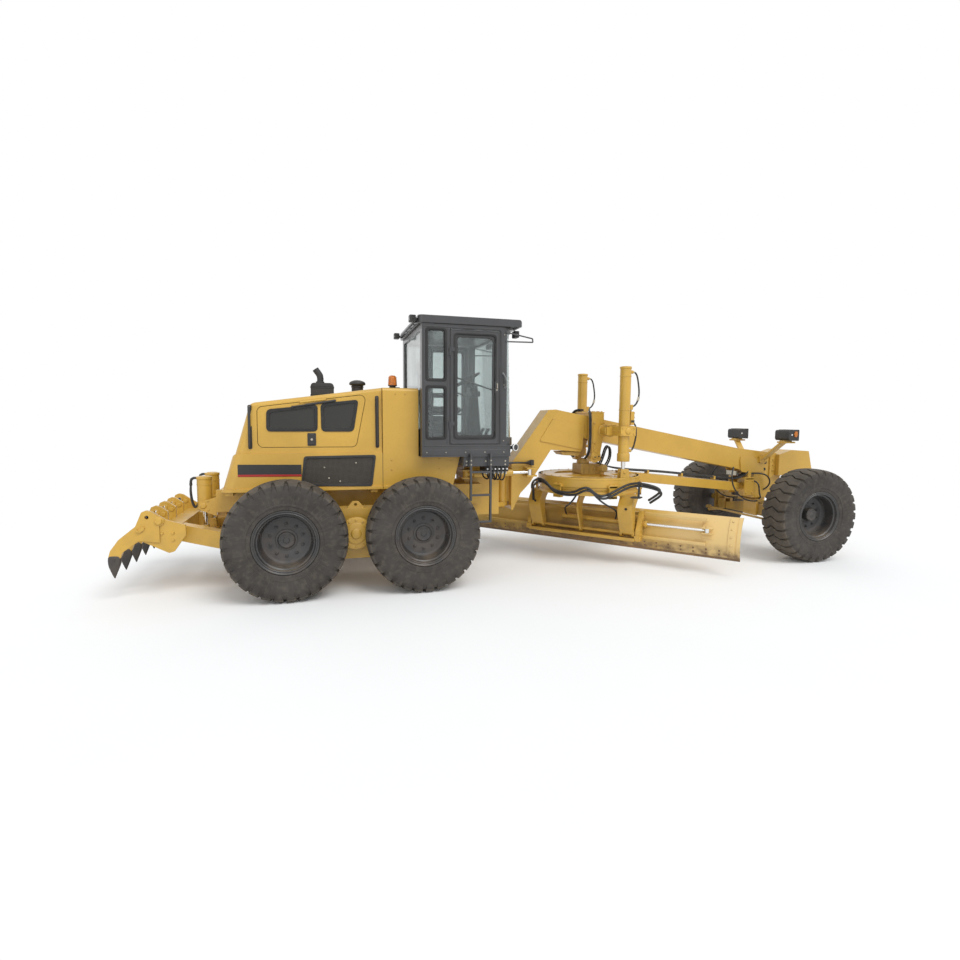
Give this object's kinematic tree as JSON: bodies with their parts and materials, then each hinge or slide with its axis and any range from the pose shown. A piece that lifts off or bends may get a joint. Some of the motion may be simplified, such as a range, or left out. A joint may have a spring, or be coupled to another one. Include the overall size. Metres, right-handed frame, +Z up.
{
  "type": "motor grader",
  "caption": "Articulated motor grader with tandem rear drive, side-shifting curved blade on a turning circle, rear ripper and glazed cab.",
  "frame": {"origin": "on the ground, under the middle of the machine as seen from above", "axes": "+X forward, +Y to the left, +Z up"},
  "size_m": [10.001, 3.382, 3.2703],
  "materials": {
    "yellow_paint": "gloss",
    "black_paint": "satin",
    "brown_steel": "worn",
    "chrome_rod": "polished",
    "tyre_rubber": "matte",
    "glass": "clear",
    "seat_vinyl": "matte"
  },
  "bodies": {
    "rear_body": {"rear_frame": "yellow_paint", "rear_axle": "yellow_paint", "tandem_cases": "yellow_paint", "engine_block": "black_paint", "hood_shell": "yellow_paint", "hood_grilles": "black_paint", "tank_box": "yellow_paint", "exhaust_intake": "black_paint", "cab_frame": "black_paint", "cab_glass": "glass", "cab_roof": "black_paint", "cab_interior": "seat_vinyl", "work_lamps": "black_paint", "ladders": "black_paint"},
    "hood_door_right_body": {"hood_door_right": "yellow_paint"},
    "hood_door_left_body": {"hood_door_left": "yellow_paint"},
    "cab_door_right_body": {"cab_door_right": "black_paint", "cab_door_glass_right": "glass"},
    "cab_door_left_body": {"cab_door_left": "black_paint", "cab_door_glass_left": "glass"},
    "front_body": {"front_frame": "yellow_paint", "saddle": "yellow_paint", "headlamps": "black_paint", "front_axle": "yellow_paint"},
    "lean_yoke_right_body": {"lean_yoke_right": "yellow_paint"},
    "lean_yoke_left_body": {"lean_yoke_left": "yellow_paint"},
    "knuckle_right_body": {"knuckle_right": "yellow_paint"},
    "knuckle_left_body": {"knuckle_left": "yellow_paint"},
    "lean_bar_body": {"lean_bar": "yellow_paint"},
    "tie_rod_end_right_body": {"tie_rod_end_right": "yellow_paint"},
    "tie_rod_end_left_body": {"tie_rod_end_left": "yellow_paint"},
    "tie_rod_body": {"tie_rod": "yellow_paint"},
    "drawbar_body": {"drawbar": "yellow_paint"},
    "circle_body": {"circle": "yellow_paint"},
    "carrier_body": {"blade_carrier": "yellow_paint"},
    "blade_body": {"moldboard": "yellow_paint", "cutting_edge": "brown_steel", "side_shift_rod": "chrome_rod"},
    "lift_cylinders_body": {"lift_cylinders": "yellow_paint"},
    "lift_rods_body": {"lift_rods": "chrome_rod"},
    "articulation_cylinder_right_body": {"articulation_cylinder_right": "yellow_paint"},
    "articulation_cylinder_left_body": {"articulation_cylinder_left": "yellow_paint"},
    "articulation_rod_right_body": {"articulation_rod_right": "chrome_rod"},
    "articulation_rod_left_body": {"articulation_rod_left": "chrome_rod"},
    "ripper_body": {"ripper_frame": "yellow_paint", "ripper_teeth": "black_paint"},
    "ripper_cylinders_body": {"ripper_cylinders": "yellow_paint"},
    "ripper_rods_body": {"ripper_rods": "chrome_rod"},
    "wheel_rear_right": {"tyre_rear_right": "tyre_rubber", "rim_rear_right": "black_paint"},
    "wheel_rear_left": {"tyre_rear_left": "tyre_rubber", "rim_rear_left": "black_paint"},
    "wheel_mid_right": {"tyre_mid_right": "tyre_rubber", "rim_mid_right": "black_paint"},
    "wheel_mid_left": {"tyre_mid_left": "tyre_rubber", "rim_mid_left": "black_paint"},
    "wheel_front_right": {"tyre_front_right": "tyre_rubber", "rim_front_right": "black_paint"},
    "wheel_front_left": {"tyre_front_left": "tyre_rubber", "rim_front_left": "black_paint"}
  },
  "joints": [
    {"name": "articulation", "type": "hinge", "parent": "rear_body", "child": "front_body", "pos_m": [-0.27, 0, 1.05], "axis": [0, 0, -1], "range_deg": [-25, 25]},
    {"name": "drawbar_lift", "type": "hinge", "parent": "front_body", "child": "drawbar_body", "pos_m": [3.83, 0, 0.98], "axis": [0, 1, 0], "range_deg": [-10, 2]},
    {"name": "circle_turn", "type": "hinge", "parent": "drawbar_body", "child": "circle_body", "pos_m": [1.08, 0, 1.04], "axis": [0, 0, 1], "range_deg": [-95, 25]},
    {"name": "blade_pitch", "type": "hinge", "parent": "circle_body", "child": "carrier_body", "pos_m": [0.9286, -0.13068, 0.44], "axis": [-0.6534, 0.757, 0], "range_deg": [-5, 40]},
    {"name": "blade_side_shift", "type": "slide", "parent": "carrier_body", "child": "blade_body", "axis": [-0.6534, 0.757, 0], "range_m": [-0.5, 0.5]},
    {"name": "lift_cylinder_swing", "type": "hinge", "parent": "front_body", "child": "lift_cylinders_body", "pos_m": [1.28, 0, 1.88], "axis": [0, 1, 0], "range_deg": [-2.5, 2.5]},
    {"name": "lift_rod_travel", "type": "slide", "parent": "lift_cylinders_body", "child": "lift_rods_body", "axis": [0, 0, 1], "range_m": [-0.47, 0.1]},
    {"name": "articulation_cylinder_right_swing", "type": "hinge", "parent": "rear_body", "child": "articulation_cylinder_right_body", "pos_m": [-0.92, -0.42, 1.3], "axis": [0, 0, -1], "range_deg": [-7, 7]},
    {"name": "articulation_rod_right_travel", "type": "slide", "parent": "articulation_cylinder_right_body", "child": "articulation_rod_right_body", "axis": [0.9921, 0.1253, 0], "range_m": [-0.15, 0.15]},
    {"name": "articulation_cylinder_left_swing", "type": "hinge", "parent": "rear_body", "child": "articulation_cylinder_left_body", "pos_m": [-0.92, 0.42, 1.3], "axis": [0, 0, -1], "range_deg": [-7, 7]},
    {"name": "articulation_rod_left_travel", "type": "slide", "parent": "articulation_cylinder_left_body", "child": "articulation_rod_left_body", "axis": [0.9921, -0.1253, 0], "range_m": [-0.15, 0.15]},
    {"name": "ripper_lift", "type": "hinge", "parent": "rear_body", "child": "ripper_body", "pos_m": [-3.67, 0, 0.6], "axis": [0, 1, 0], "range_deg": [-24, 12]},
    {"name": "ripper_cylinder_swing", "type": "hinge", "parent": "rear_body", "child": "ripper_cylinders_body", "pos_m": [-4.115, 0, 0.98], "axis": [0, 1, 0], "range_deg": [-3, 3]},
    {"name": "ripper_rod_travel", "type": "slide", "parent": "ripper_cylinders_body", "child": "ripper_rods_body", "axis": [0, 0, 1], "range_m": [-0.19, 0.096]},
    {"name": "lean_right", "type": "hinge", "parent": "front_body", "child": "lean_yoke_right_body", "pos_m": [4.108, -0.66, 0.56], "axis": [1, 0, 0], "range_deg": [-17, 17]},
    {"name": "steer_right", "type": "hinge", "parent": "lean_yoke_right_body", "child": "knuckle_right_body", "pos_m": [4.108, -0.8, 0.675], "axis": [0, 0, 1], "range_deg": [-45, 45]},
    {"name": "lean_left", "type": "hinge", "parent": "front_body", "child": "lean_yoke_left_body", "pos_m": [4.108, 0.66, 0.56], "axis": [1, 0, 0], "range_deg": [-17, 17]},
    {"name": "steer_left", "type": "hinge", "parent": "lean_yoke_left_body", "child": "knuckle_left_body", "pos_m": [4.108, 0.8, 0.675], "axis": [0, 0, 1], "range_deg": [-45, 45]},
    {"name": "lean_bar_swing", "type": "hinge", "parent": "lean_yoke_right_body", "child": "lean_bar_body", "pos_m": [3.99, -0.66, 0.755], "axis": [1, 0, 0], "range_deg": [-17, 17]},
    {"name": "tie_rod_end_right_swing", "type": "hinge", "parent": "knuckle_right_body", "child": "tie_rod_end_right_body", "pos_m": [3.878, -0.8, 0.5213], "axis": [0, 0, 1], "range_deg": [-45, 45]},
    {"name": "tie_rod_end_left_swing", "type": "hinge", "parent": "knuckle_left_body", "child": "tie_rod_end_left_body", "pos_m": [3.878, 0.8, 0.5213], "axis": [0, 0, 1], "range_deg": [-45, 45]},
    {"name": "tie_rod_swing", "type": "hinge", "parent": "tie_rod_end_right_body", "child": "tie_rod_body", "pos_m": [3.836, -0.8, 0.5213], "axis": [1, 0, 0], "range_deg": [-15, 15]},
    {"name": "wheel_rear_right_spin", "type": "hinge", "parent": "rear_body", "child": "wheel_rear_right", "pos_m": [-3.14, -1.08, 0.674], "axis": [0, 1, 0], "continuous": true},
    {"name": "wheel_rear_left_spin", "type": "hinge", "parent": "rear_body", "child": "wheel_rear_left", "pos_m": [-3.14, 1.08, 0.674], "axis": [0, 1, 0], "continuous": true},
    {"name": "wheel_mid_right_spin", "type": "hinge", "parent": "rear_body", "child": "wheel_mid_right", "pos_m": [-1.6, -1.08, 0.674], "axis": [0, 1, 0], "continuous": true},
    {"name": "wheel_mid_left_spin", "type": "hinge", "parent": "rear_body", "child": "wheel_mid_left", "pos_m": [-1.6, 1.08, 0.674], "axis": [0, 1, 0], "continuous": true},
    {"name": "wheel_front_right_spin", "type": "hinge", "parent": "knuckle_right_body", "child": "wheel_front_right", "pos_m": [4.108, -1.08, 0.674], "axis": [0, 1, 0], "continuous": true},
    {"name": "wheel_front_left_spin", "type": "hinge", "parent": "knuckle_left_body", "child": "wheel_front_left", "pos_m": [4.108, 1.08, 0.674], "axis": [0, 1, 0], "continuous": true},
    {"name": "cab_door_right_swing", "type": "hinge", "parent": "rear_body", "child": "cab_door_right_body", "pos_m": [-1.224, -0.838, 2.4], "axis": [0, 0, -1], "range_deg": [0, 95]},
    {"name": "cab_door_left_swing", "type": "hinge", "parent": "rear_body", "child": "cab_door_left_body", "pos_m": [-1.224, 0.838, 2.4], "axis": [0, 0, 1], "range_deg": [0, 95]},
    {"name": "hood_door_right_lift", "type": "hinge", "parent": "rear_body", "child": "hood_door_right_body", "pos_m": [-2.8375, -0.62991, 2.23238], "axis": [-0.9907, 0, -0.1357], "range_deg": [0, 70]},
    {"name": "hood_door_left_lift", "type": "hinge", "parent": "rear_body", "child": "hood_door_left_body", "pos_m": [-2.8375, 0.62991, 2.23238], "axis": [0.9907, 0, 0.1357], "range_deg": [0, 70]}
  ],
  "couplings": [
    {"joint": "lift_cylinder_swing", "follows": "drawbar_lift", "ratio": -0.2},
    {"joint": "lift_rod_travel", "follows": "drawbar_lift", "m_per_rad": 2.65},
    {"joint": "articulation_cylinder_right_swing", "follows": "articulation", "ratio": 0.264},
    {"joint": "articulation_rod_right_travel", "follows": "articulation", "m_per_rad": -0.3313},
    {"joint": "articulation_cylinder_left_swing", "follows": "articulation", "ratio": 0.264},
    {"joint": "articulation_rod_left_travel", "follows": "articulation", "m_per_rad": 0.3313},
    {"joint": "ripper_cylinder_swing", "follows": "ripper_lift", "ratio": -0.12},
    {"joint": "ripper_rod_travel", "follows": "ripper_lift", "m_per_rad": 0.45},
    {"joint": "lean_left", "follows": "lean_right", "ratio": 1},
    {"joint": "steer_left", "follows": "steer_right", "ratio": 1},
    {"joint": "lean_bar_swing", "follows": "lean_right", "ratio": -1},
    {"joint": "tie_rod_end_right_swing", "follows": "steer_right", "ratio": -1},
    {"joint": "tie_rod_end_left_swing", "follows": "steer_right", "ratio": -1},
    {"joint": "tie_rod_swing", "follows": "lean_right", "ratio": -0.826}
  ]
}
